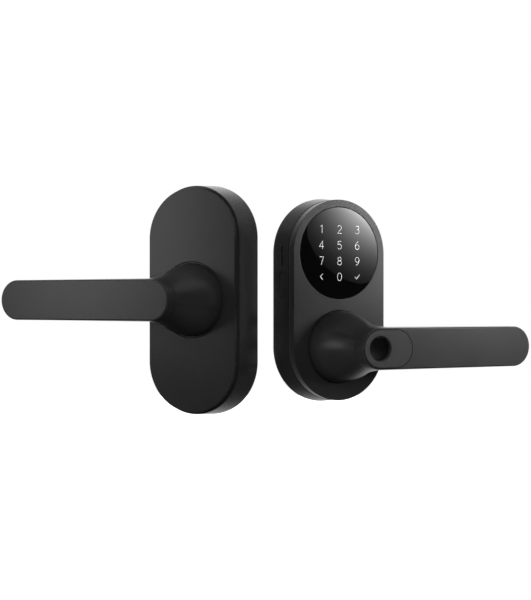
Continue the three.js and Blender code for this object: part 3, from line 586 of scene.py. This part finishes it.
def exterior_gasket():
    """The rim meets the housing's back edge, and the middle fills the housing's mouth."""
    rim = EXT_BACK_RADIUS - 0.25
    rim_front, lip_front = 0.3, 1.6
    return gasket("exterior_gasket_sheet", EXTERIOR, EXT_REACH, [
        (39, -GASKET, 0), (rim, -GASKET, 0.4), (rim, rim_front, 0.3), (EXT_MOUTH_RADIUS, rim_front, 0),
        (EXT_MOUTH_RADIUS, lip_front, 0.3), (EXT_MOUTH_RADIUS - 1, lip_front, 0),
    ], HUB_Z, EXT_SCREW_Z)


dress(exterior_gasket(), "lock_body", "black_rubber", rubber, "exterior_gasket")


def touch_glass():
    flat, back, front = 30, EXT_DEPTH - 2.2, EXT_DEPTH - 0.02
    profile = rounded([
        (flat, back, 0), (DISC_RADIUS, back, 0.1), (DISC_RADIUS, front, 0.25), (flat, front, 0),
    ], 5)
    return smooth(Shell().solid(round_stack(profile, DISC_Z)).done("touch_glass_disc", EXTERIOR))


dress(touch_glass(), "lock_body", "touch_glass", glass, "touch_glass")


# ---- Keypad legends: thin lit strokes in the glass face, sizes in millimetres ----

KEY_PITCH_X = 15.8
KEY_PITCH_Z = 11.8
STROKE = 0.28
STROKE_DEPTH = 0.3
TOP = 2.9  # half the height of a digit


def bow(centre, radii, start, end, steps=20):
    """Points of part of an ellipse between two angles in degrees."""
    points = []
    for step in range(steps + 1):
        turn = math.radians(start + (end - start) * step / steps)
        points.append((centre[0] + radii[0] * math.cos(turn), centre[1] + radii[1] * math.sin(turn)))
    return points


def loop(centre, radii):
    """A whole ellipse."""
    return bow(centre, radii, 0, 360, 36)


SIX = [bow((1.35, -1.1), (3.05, 4.0), 95, 180), loop((0, -1.1), (1.7, 1.8))]
LEGENDS = {
    "0": [loop((0, 0), (1.85, TOP))],
    "1": [[(-0.9, 1.8), (0.45, TOP), (0.45, -TOP)]],
    "2": [[*bow((0, 1.3), (1.65, 1.6), 165, -35), (-1.75, -TOP), (1.85, -TOP)]],
    "3": [[*bow((0, 1.5), (1.45, 1.4), 150, -80), *bow((0, -1.3), (1.75, 1.6), 80, -150)]],
    "4": [[(1.9, -1.2), (-1.9, -1.2), (0.85, TOP), (0.85, -TOP)]],
    "5": [[(1.5, TOP), (-1.2, TOP), (-1.45, 0.3), *bow((-0.05, -1.0), (1.75, 1.9), 130, -145)]],
    "6": SIX,
    "7": [[(-1.7, TOP), (1.7, TOP), (-0.4, -TOP)]],
    "8": [loop((0, 1.5), (1.4, 1.4)), loop((0, -1.35), (1.75, 1.55))],
    "9": [[(-x, -z) for x, z in stroke] for stroke in SIX],
    "back": [[(1.0, 2.1), (-1.1, 0), (1.0, -2.1)]],
    "enter": [[(-2.0, 0.1), (-0.6, -1.6), (2.1, 1.8)]],
}
KEYS = [["1", "2", "3"], ["4", "5", "6"], ["7", "8", "9"], ["back", "0", "enter"]]


def ribbon(points, place_x, place_z):
    """A flat bar that follows a line, mitred at its corners. A line that ends where it starts closes."""
    path = [Vector(p) for p in points]
    closed = (path[0] - path[-1]).length < 1e-6
    if closed:
        path.pop()
    shell = Shell()
    rings = []
    last = len(path) - 1
    for k, point in enumerate(path):
        before = path[k - 1] if (k or closed) else None
        after = path[(k + 1) % len(path)] if (k < last or closed) else None
        ways = []
        if before is not None:
            ways.append((point - before).normalized())
        if after is not None:
            ways.append((after - point).normalized())
        along = sum(ways, Vector((0, 0))).normalized()
        spread = STROKE / 2 / max(along.dot(ways[0]), 0.5)
        across = Vector((-along.y, along.x)) * spread
        left, right = point + across, point - across
        floor_depth = EXT_DEPTH - STROKE_DEPTH
        section = ((left, floor_depth), (left, EXT_DEPTH), (right, EXT_DEPTH), (right, floor_depth))
        rings.append(shell.ring([
            Vector((place_x + side.x, -w, place_z + side.y)) for side, w in section
        ]))
    if closed:
        shell.walls([*rings, rings[0]])
    else:
        shell.walls(rings)
        shell.mesh.faces.new(rings[0])
        shell.mesh.faces.new(rings[-1])
    return shell.done("stroke", EXTERIOR)


def keypad_legends():
    """All the keys' legends as one object, in rows about the middle of the glass."""
    strokes = []
    middle_row = (len(KEYS) - 1) / 2
    for row, names in enumerate(KEYS):
        for column, name in enumerate(names):
            x = (column - 1) * KEY_PITCH_X
            z = DISC_Z + (middle_row - row) * KEY_PITCH_Z
            strokes += [ribbon(points, x, z) for points in LEGENDS[name]]
    mesh = bmesh.new()
    for stroke in strokes:
        mesh.from_mesh(stroke.data)
        bpy.data.objects.remove(stroke)
    data = bpy.data.meshes.new("keypad_legends")
    mesh.to_mesh(data)
    mesh.free()
    obj = bpy.data.objects.new("keypad_legends", data)
    bpy.context.scene.collection.objects.link(obj)
    return obj


dress(keypad_legends(), "lock_body", "light_diffuser", legend)


# ---- Levers ----

NECK_STEPS = 48
LEVER_POINTS = 160
FILLET_STEPS = 6
RISE_POWER = 1.4  # how the neck leaves the hub
FALL_POWER = 1.86  # how it meets the blade
FLARE_POWER = 1.45  # how it runs out under the blade
BACK_FILLET = 1.4
FACE_FILLET = 1.1


def neck_radius(height):
    """A smooth fall from the hub's radius to the blade's."""
    t = min(max(height / LEVER_LENGTH, 0), 1)
    rise = t ** RISE_POWER
    blend = rise / (rise + (1 - t) ** FALL_POWER)
    return BLADE_RADIUS + (HUB_RADIUS - BLADE_RADIUS) * (1 - blend)


def lever_ring(height, near, far, reach):
    """The hull of a circle on the axis and a circle further out."""
    ring = []
    for k in range(LEVER_POINTS):
        turn = (k + 0.5) / LEVER_POINTS * 2 * math.pi
        is_far = reach * math.cos(turn) + far > near
        radius = far if is_far else near
        x = (reach if is_far else 0) + radius * math.cos(turn)
        ring.append(Vector((x, -height, radius * math.sin(turn))))
    return ring


def lever_rings():
    """The lever from foot to face, height counted from the escutcheon."""
    rings = [lever_ring(LEVER_FOOT, HUB_RADIUS, HUB_RADIUS, 0)]
    top = NECK_LENGTH - 0.4
    for step in range(NECK_STEPS + 1):
        height = step / NECK_STEPS * top
        radius = neck_radius(height)
        reach = NECK_REACH * (height / NECK_LENGTH) ** FLARE_POWER
        rings.append(lever_ring(height, radius, min(radius, BLADE_RADIUS), reach))
    back = neck_radius(NECK_LENGTH)
    for step in range(FILLET_STEPS + 1):
        turn = step / FILLET_STEPS * math.pi / 2
        inset = BACK_FILLET * (1 - math.sin(turn))
        height = NECK_LENGTH + BACK_FILLET * (1 - math.cos(turn))
        rings.append(lever_ring(height, back, BLADE_RADIUS - inset, BLADE_REACH))
    edge = LEVER_LENGTH - FACE_FILLET
    for step in range(FILLET_STEPS + 1):
        turn = step / FILLET_STEPS * math.pi / 2
        radius = BLADE_RADIUS - FACE_FILLET * (1 - math.cos(turn))
        height = edge + FACE_FILLET * math.sin(turn)
        rings.append(lever_ring(height, radius, radius, BLADE_REACH))
    return rings


def sleeve_socket():
    """The round socket in the foot that takes the drive sleeve."""
    return [round_ring(SOCKET_RADIUS, height) for height in (LEVER_FOOT, SOCKET_DEPTH)]


def screw_hole(place, local):
    """A cutter for the set screw hole under the hub."""
    outside, inside = -30, -9
    stack = [round_ring(SET_SCREW_BORE, w, count=32) for w in (outside, inside)]
    upright = Matrix.Translation((0, -SET_SCREW_HEIGHT, 0)) @ Matrix.Rotation(-math.pi / 2, 4, "X")
    return Shell().solid(stack).done("cutter", place, local @ upright)


def exterior_lever():
    """The lever with the inlay's seat sunk in its face and the sensor board's room below the seat."""
    mouth = INLAY_RADIUS + 0.6
    seat_radius = INLAY_RADIUS + 0.32
    seat_floor = LEVER_LENGTH - INLAY_THICKNESS - 0.2
    board_floor = seat_floor - 5
    seat = rounded([
        (mouth, LEVER_LENGTH, 0), (seat_radius, LEVER_LENGTH, 0.12), (seat_radius, seat_floor, 0),
    ])
    pocket = [lying_ring(radius, INLAY_REACH, w) for radius, w in seat]
    pocket += [round_ring(SENSOR_BORE, w, count=PILL_POINTS) for w in (seat_floor, board_floor)]
    local = Matrix.Translation((0, -EXT_DEPTH, HUB_Z))
    shell = Shell().solid(lever_rings(), pockets=[pocket], sockets=[sleeve_socket()])
    lever = shell.done("exterior_lever_handle", EXTERIOR, local)
    return smooth(carve(lever, [screw_hole(EXTERIOR, local)]), 40)


dress(exterior_lever(), "exterior_lever", "lever_metal", lever_coat, "exterior_lever")


BLADE_FACE = EXT_DEPTH + LEVER_LENGTH


def fingerprint_bezel():
    """The inlay, with a chamfered round hole above the sensor."""
    flat, back, front = 12, BLADE_FACE - INLAY_THICKNESS, BLADE_FACE - 0.02
    outer = rounded([
        (flat, back, 0), (INLAY_RADIUS, back, 0.1), (INLAY_RADIUS, front, 0.18), (flat, front, 0),
    ])
    stack = [lying_ring(radius, INLAY_REACH, w) for radius, w in outer]
    dish = rounded([(10.2, front, 0), (9.5, front, 0.1), (8.65, BLADE_FACE - 1.0, 0.3), (8.5, back, 0)])
    way = [round_ring(radius, w, count=PILL_POINTS) for radius, w in dish]
    local = Matrix.Translation((0, 0, HUB_Z))
    return smooth(Shell().solid(stack, ways=[way]).done("fingerprint_inlay", EXTERIOR, local))


dress(fingerprint_bezel(), "exterior_lever", "black_metal", inlay_coat, "fingerprint_bezel")


def fingerprint_sensor():
    """A round window with a slightly hollow face."""
    face = BLADE_FACE - SENSOR_SUNK
    sag = 0.35
    rounds = 9
    profile = [(SENSOR_RADIUS, face - SENSOR_THICKNESS), (SENSOR_RADIUS, face - 0.1)]
    for step in range(1, rounds):
        radius = SENSOR_RADIUS * math.cos(step / rounds * math.pi / 2)
        profile.append((radius, face - sag + sag * (radius / SENSOR_RADIUS) ** 2))
    stack = [round_ring(radius, w) for radius, w in profile]
    local = Matrix.Translation((0, 0, HUB_Z))
    return smooth(Shell().solid(stack).done("fingerprint_window", EXTERIOR, local), 50)


dress(fingerprint_sensor(), "exterior_lever", "sensor_black", sensor_glass, "fingerprint_sensor")


# ---- Interior half ----


def battery_window(z):
    """A rectangular opening in the housing's front wall, as two rings."""
    x, half_z = BATTERY_HALF_X, BATTERY_HALF_Z
    corners = ((-x, -half_z), (x, -half_z), (x, half_z), (-x, half_z))
    return [[Vector((px, -w, z + pz)) for px, pz in corners] for w in (INT_RIM, INT_FLOOR)]


def interior_housing():
    outer = rounded([
        (INT_MOUTH_RADIUS - 1, INT_FLOOR, 0), (INT_MOUTH_RADIUS, 2.5, 0), (INT_MOUTH_RADIUS, 0, 0),
        (INT_BACK_RADIUS, 0, 0.3), (INT_RADIUS, INT_RIM, 0.3), (INT_MOUTH_RADIUS, INT_RIM, 0),
    ], 6)
    bush_way = [(BUSH_BORE, INT_RIM), (BUSH_BORE, INT_FLOOR)]
    battery_ways = [battery_window(z) for z in (BATTERY_Z, -BATTERY_Z)]
    shell = Shell().solid(pill_stack(INT_REACH, outer), ways=[round_stack(bush_way), *battery_ways])
    return smooth(shell.done("interior_housing_shell", INTERIOR))


dress(interior_housing(), "lock_body", "black_metal", cover_coat, "interior_housing")


def interior_gasket():
    rim, front, flat = INT_BACK_RADIUS - 0.25, -0.3, 38.5
    return gasket("interior_gasket_sheet", INTERIOR, INT_REACH, [
        (flat, -GASKET, 0), (rim, -GASKET, 0.4), (rim, front, 0.3), (flat, front, 0),
    ], 0, INT_SCREW_Z)


dress(interior_gasket(), "lock_body", "black_rubber", rubber, "interior_gasket")


def face_plate():
    cavity = INT_DEPTH - PLATE_WALL
    inner = PLATE_RADIUS - PLATE_WALL
    lip = COLLAR_RADIUS + PLATE_WALL
    outer = rounded([
        (inner, cavity, 0), (inner, PLATE_BACK, 0), (PLATE_RADIUS - 0.1, PLATE_BACK, 0.2),
        (PLATE_RADIUS, INT_DEPTH, 0.28), (35, INT_DEPTH, 0),
    ], 6)
    hole = rounded([
        (COLLAR_RADIUS + 0.9, INT_DEPTH, 0), (COLLAR_BORE, INT_DEPTH, 0.2), (COLLAR_BORE, PLATE_BACK, 0),
        (lip, PLATE_BACK, 0), (lip, cavity, 0),
    ])
    way = [round_ring(radius, w, count=PILL_POINTS) for radius, w in hole]
    shell = Shell().solid(pill_stack(INT_REACH, outer), ways=[way])
    return smooth(shell.done("interior_face_cover", INTERIOR))


dress(face_plate(), "face_plate", "black_metal", cover_coat, "interior_face_plate")


def hub_collar():
    """A trim ring with a low inner flange, turned from one closed profile."""
    flange, back, flange_front = 24, INT_RIM + 0.3, INT_RIM + 1.6
    profile = rounded([
        (flange, back, 0), (COLLAR_RADIUS, back, 0.1), (COLLAR_RADIUS, INT_DEPTH, 0.3),
        (HUB_BORE, INT_DEPTH, 0.25), (HUB_BORE, flange_front, 0.1), (flange, flange_front, 0.1),
        (flange, back, 0),
    ])
    shell = Shell()
    rings = [shell.ring(ring) for ring in round_stack(profile[:-1])]
    shell.walls([*rings, rings[0]])
    return smooth(shell.done("interior_hub_ring", INTERIOR))


dress(hub_collar(), "lock_body", "black_metal", cover_coat, "interior_hub_collar")


def interior_lever():
    local = Matrix.Translation((0, -INT_DEPTH, 0))
    leftwards = local @ Matrix.Rotation(math.pi, 4, "Y")
    shell = Shell().solid(lever_rings(), sockets=[sleeve_socket()])
    lever = shell.done("interior_lever_handle", INTERIOR, leftwards)
    return smooth(carve(lever, [screw_hole(INTERIOR, local)]), 40)


dress(interior_lever(), "interior_lever", "lever_metal", lever_coat, "interior_lever")


# ---- Camera ----

CAMERA_PLACE = Vector((-0.58815, -0.93529, 0))
CAMERA_AIM = Vector((0.5, 0.8660254, 0))
LENS = 86.8

camera_data = bpy.data.cameras.new("camera")
camera_data.lens = LENS
camera_data.sensor_width = 36
camera = bpy.data.objects.new("camera", camera_data)
camera.location = CAMERA_PLACE
camera.rotation_mode = "QUATERNION"
camera.rotation_quaternion = CAMERA_AIM.to_track_quat("-Z", "Y")
bpy.context.scene.collection.objects.link(camera)
bpy.context.scene.camera = camera


# ---- Studio light, world and floor ----

LIGHT_DISTANCE = 500  # the lamps stand this far in front of the exterior face, in millimetres
LIGHT_Y = -EXT_DEPTH - LIGHT_DISTANCE


def area_light(name, place, aim, size, radiance):
    """A flat rectangular light of even brightness, in metres, facing along aim."""
    data = bpy.data.lights.new(name, "AREA")
    data.shape = "RECTANGLE"
    data.size, data.size_y = size
    data.energy = radiance * math.pi * size[0] * size[1]
    light = bpy.data.objects.new(name, data)
    light.location = place
    light.rotation_mode = "QUATERNION"
    light.rotation_quaternion = aim.to_track_quat("-Z", "Y")
    bpy.context.scene.collection.objects.link(light)
    return light


def math_node(nodes, links, operation, *values):
    node = nodes.new("ShaderNodeMath")
    node.operation = operation
    for socket, value in zip(node.inputs, values):
        if isinstance(value, (int, float)):
            socket.default_value = value
        else:
            links.new(value, socket)
    return node.outputs[0]


REFLECTOR_PLACE = (359, LIGHT_Y, 104)
REFLECTOR_RADIUS = 85
HOT_SPOT = Vector((45, 0, 65)) * MM  # from the reflector's centre
BRIGHTEST = 40.0


def round_reflector():
    """A round reflector to the right, hottest near its far edge, which the touch glass mirrors."""
    reflector = Shell()
    reflector.lid([reflector.ring(round_ring(REFLECTOR_RADIUS, 0, count=96))], None)
    obj = reflector.done("round_reflector", Matrix.Scale(MM, 4))
    obj.matrix_world = EXTERIOR @ Matrix.Translation(REFLECTOR_PLACE) @ Matrix.Scale(1 / MM, 4)
    material = bpy.data.materials.new("hot_centre")
    material.use_nodes = True
    nodes, links = material.node_tree.nodes, material.node_tree.links
    nodes.remove(nodes["Principled BSDF"])
    coordinates = nodes.new("ShaderNodeTexCoord")
    distance = nodes.new("ShaderNodeVectorMath")
    distance.operation = "DISTANCE"
    distance.inputs[1].default_value = HOT_SPOT
    links.new(coordinates.outputs["Object"], distance.inputs[0])
    metres = distance.outputs["Value"]
    # Radiance falls off as exp(4.93 - 12.4 d - 178 d²), d being the distance from the hot spot.
    slope = math_node(nodes, links, "MULTIPLY_ADD", metres, -178.0, -12.4)
    fall = math_node(nodes, links, "MULTIPLY_ADD", slope, metres, 4.93)
    glow = math_node(nodes, links, "EXPONENT", fall)
    capped = math_node(nodes, links, "MINIMUM", glow, BRIGHTEST)
    emission = nodes.new("ShaderNodeEmission")
    links.new(capped, emission.inputs["Strength"])
    links.new(emission.outputs["Emission"], nodes["Material Output"].inputs["Surface"])
    obj.data.materials.append(material)
    obj.visible_camera = False


round_reflector()

RIGHT_LAMP = EXTERIOR @ Vector((452, LIGHT_Y, 125))
LEFT_LAMP = INTERIOR @ Vector((-400, LIGHT_Y, 100))
FRONT_LAMP = CAMERA_PLACE + Vector((0, 0, 0.3))
INTO_EXTERIOR = (EXTERIOR.to_3x3() @ Vector((0, 1, 0))).normalized()
INTO_INTERIOR = (INTERIOR.to_3x3() @ Vector((0, 1, 0))).normalized()

area_light("right_lamp", RIGHT_LAMP, INTO_EXTERIOR, (0.14, 0.24), 23)
area_light("left_lamp", LEFT_LAMP, INTO_INTERIOR, (0.18, 0.28), 6.6)
front_lamp = area_light("front_lamp", FRONT_LAMP, CAMERA_AIM, (1.6, 1.2), 1.33)
front_lamp.visible_glossy = False

# The card's place and edges in millimetres, in the frame of the row of both halves
CARD_X = -48
CARD_NEAR_Y, CARD_FAR_Y = -150, -32
CARD_LOW_Z, CARD_HIGH_Z = -6, 52


def black_card():
    """An upright card between the halves that keeps the right-hand light off the interior hub."""
    shell = Shell()
    corners = [
        Vector((CARD_X, CARD_NEAR_Y, CARD_LOW_Z)), Vector((CARD_X, CARD_FAR_Y, CARD_LOW_Z)),
        Vector((CARD_X, CARD_FAR_Y, CARD_HIGH_Z)), Vector((CARD_X, CARD_NEAR_Y, CARD_HIGH_Z)),
    ]
    shell.mesh.faces.new(shell.ring([corner * MM for corner in corners]))
    obj = shell.done("black_card", Matrix.Identity(4))
    material, nodes, links, shader = new_material("black_card")
    shader.inputs["Base Color"].default_value = grey(0.01)
    shader.inputs["Specular IOR Level"].default_value = 0.0
    obj.data.materials.append(material)
    obj.visible_camera = False


black_card()


def studio_world():
    """White to the eye; as light, bright behind the object, dim in front and soft from the sides."""
    world = bpy.data.worlds.new("studio")
    world.use_nodes = True
    bpy.context.scene.world = world
    nodes, links = world.node_tree.nodes, world.node_tree.links
    coordinates = nodes.new("ShaderNodeTexCoord")

    def towards(aim):
        """How far each direction points along aim, from 0 (away from it) to 1 (right along it)."""
        dot = nodes.new("ShaderNodeVectorMath")
        dot.operation = "DOT_PRODUCT"
        dot.inputs[1].default_value = aim
        links.new(coordinates.outputs["Generated"], dot.inputs[0])
        return math_node(nodes, links, "MULTIPLY_ADD", dot.outputs["Value"], 0.5, 0.5)

    def steps(signal, *stops):
        """Brightness along a signal, given as places and values, lowest and highest place first."""
        (low_place, low), (high_place, high), *between = stops
        node = ramp(nodes, links, signal, grey(low), grey(high), low_place, high_place)
        for place, value in between:
            node.color_ramp.elements.new(place).color = grey(value)
        return node.outputs["Color"]

    behind = towards(CAMERA_AIM)
    rightwards = towards(CAMERA_AIM.cross(Vector((0, 0, 1))))
    upwards = towards(Vector((0, 0, 1)))

    backdrop = steps(behind, (0.33, 0.01), (0.925, 1.0), (0.46, 0.3), (0.62, 0.3), (0.74, 0.1), (0.85, 0.3))
    below = steps(upwards, (0.15, 0.35), (0.5, 1.0))
    sides = steps(rightwards, (0.1, 1.3), (0.9, 1.5))
    shade = math_node(nodes, links, "MULTIPLY", backdrop, below)
    sided = math_node(nodes, links, "MULTIPLY", shade, sides)

    # A soft upright glow either side of the backdrop, near the horizon, lights the halves' sides.
    strip = steps(behind, (0.66, 0.0), (0.82, 0.0), (0.74, 1.5))
    horizon = steps(upwards, (0.36, 0.0), (0.64, 0.0), (0.5, 1.0))
    leftwards = steps(rightwards, (0.1, 3.4), (0.9, 1.9))
    level = math_node(nodes, links, "MULTIPLY", strip, horizon)
    side_glow = math_node(nodes, links, "MULTIPLY", level, leftwards)

    overhead = steps(upwards, (0.55, 0.0), (0.95, 0.5))
    glowing = math_node(nodes, links, "ADD", sided, side_glow)
    light = math_node(nodes, links, "ADD", glowing, overhead)
    path = nodes.new("ShaderNodeLightPath")
    white = nodes.new("ShaderNodeMix")
    links.new(path.outputs["Is Camera Ray"], white.inputs["Factor"])
    links.new(light, white.inputs["A"])
    white.inputs["B"].default_value = 1.0
    links.new(white.outputs["Result"], nodes["Background"].inputs["Strength"])
    nodes["Background"].inputs["Color"].default_value = grey(1.0)


studio_world()


FLOOR_RADIUS = 8  # in metres
FLOOR_HEIGHT = -0.6


def floor():
    """A plain white floor well below, which adds no light of its own to the object."""
    obj = bpy.data.objects.new("floor", bpy.data.meshes.new("floor"))
    mesh = bmesh.new()
    bmesh.ops.create_circle(mesh, cap_ends=True, segments=96, radius=FLOOR_RADIUS)
    mesh.to_mesh(obj.data)
    mesh.free()
    obj.location = (0, 0, FLOOR_HEIGHT)
    bpy.context.scene.collection.objects.link(obj)
    material, nodes, links, shader = new_material("white_floor")
    shader.inputs["Base Color"].default_value = grey(0.9)
    shader.inputs["Roughness"].default_value = 0.8
    shader.inputs["Emission Color"].default_value = grey(1.0)
    shader.inputs["Emission Strength"].default_value = 1.0
    obj.data.materials.append(material)
    obj.visible_diffuse = False
    obj.visible_glossy = False


floor()
bpy.context.scene.view_settings.view_transform = "Standard"
